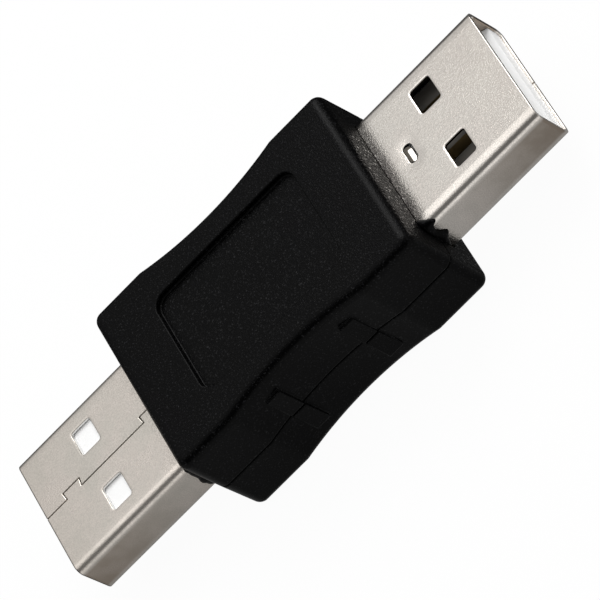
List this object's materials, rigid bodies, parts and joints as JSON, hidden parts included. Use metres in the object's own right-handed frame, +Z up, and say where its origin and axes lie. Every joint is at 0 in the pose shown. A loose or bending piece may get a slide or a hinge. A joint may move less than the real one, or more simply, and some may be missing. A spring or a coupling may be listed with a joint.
{
  "type": "usb coupler",
  "caption": "Straight plug-to-plug USB coupler: a black waisted two-half housing that holds a flat metal plug at each end and links their contacts straight through.",
  "frame": {"origin": "middle of the coupler, on the axis that both plugs share", "axes": "+X out along the right plug, +Y across the width, +Z up through the panel recess of the upper half"},
  "size_m": [0.0504, 0.017, 0.0105],
  "materials": {
    "housing": "fine spark-textured moulded black plastic",
    "shell": "nickel-plated folded sheet, satin",
    "insulator": "white moulded plastic, semi-gloss",
    "contact": "thin gold flash over stamped strip",
    "board": "green solder mask on glass fibre board",
    "solder": "tin solder fillets"
  },
  "bodies": {
    "root": {"upper_housing": "housing", "lower_housing": "housing", "right_shell": "shell", "left_shell": "shell", "right_insulator": "insulator", "left_insulator": "insulator", "right_contact_power": "contact", "right_contact_data_minus": "contact", "right_contact_data_plus": "contact", "right_contact_ground": "contact", "left_contact_power": "contact", "left_contact_data_minus": "contact", "left_contact_data_plus": "contact", "left_contact_ground": "contact", "link_board": "board", "right_solder": "solder", "left_solder": "solder"}
  },
  "joints": []
}
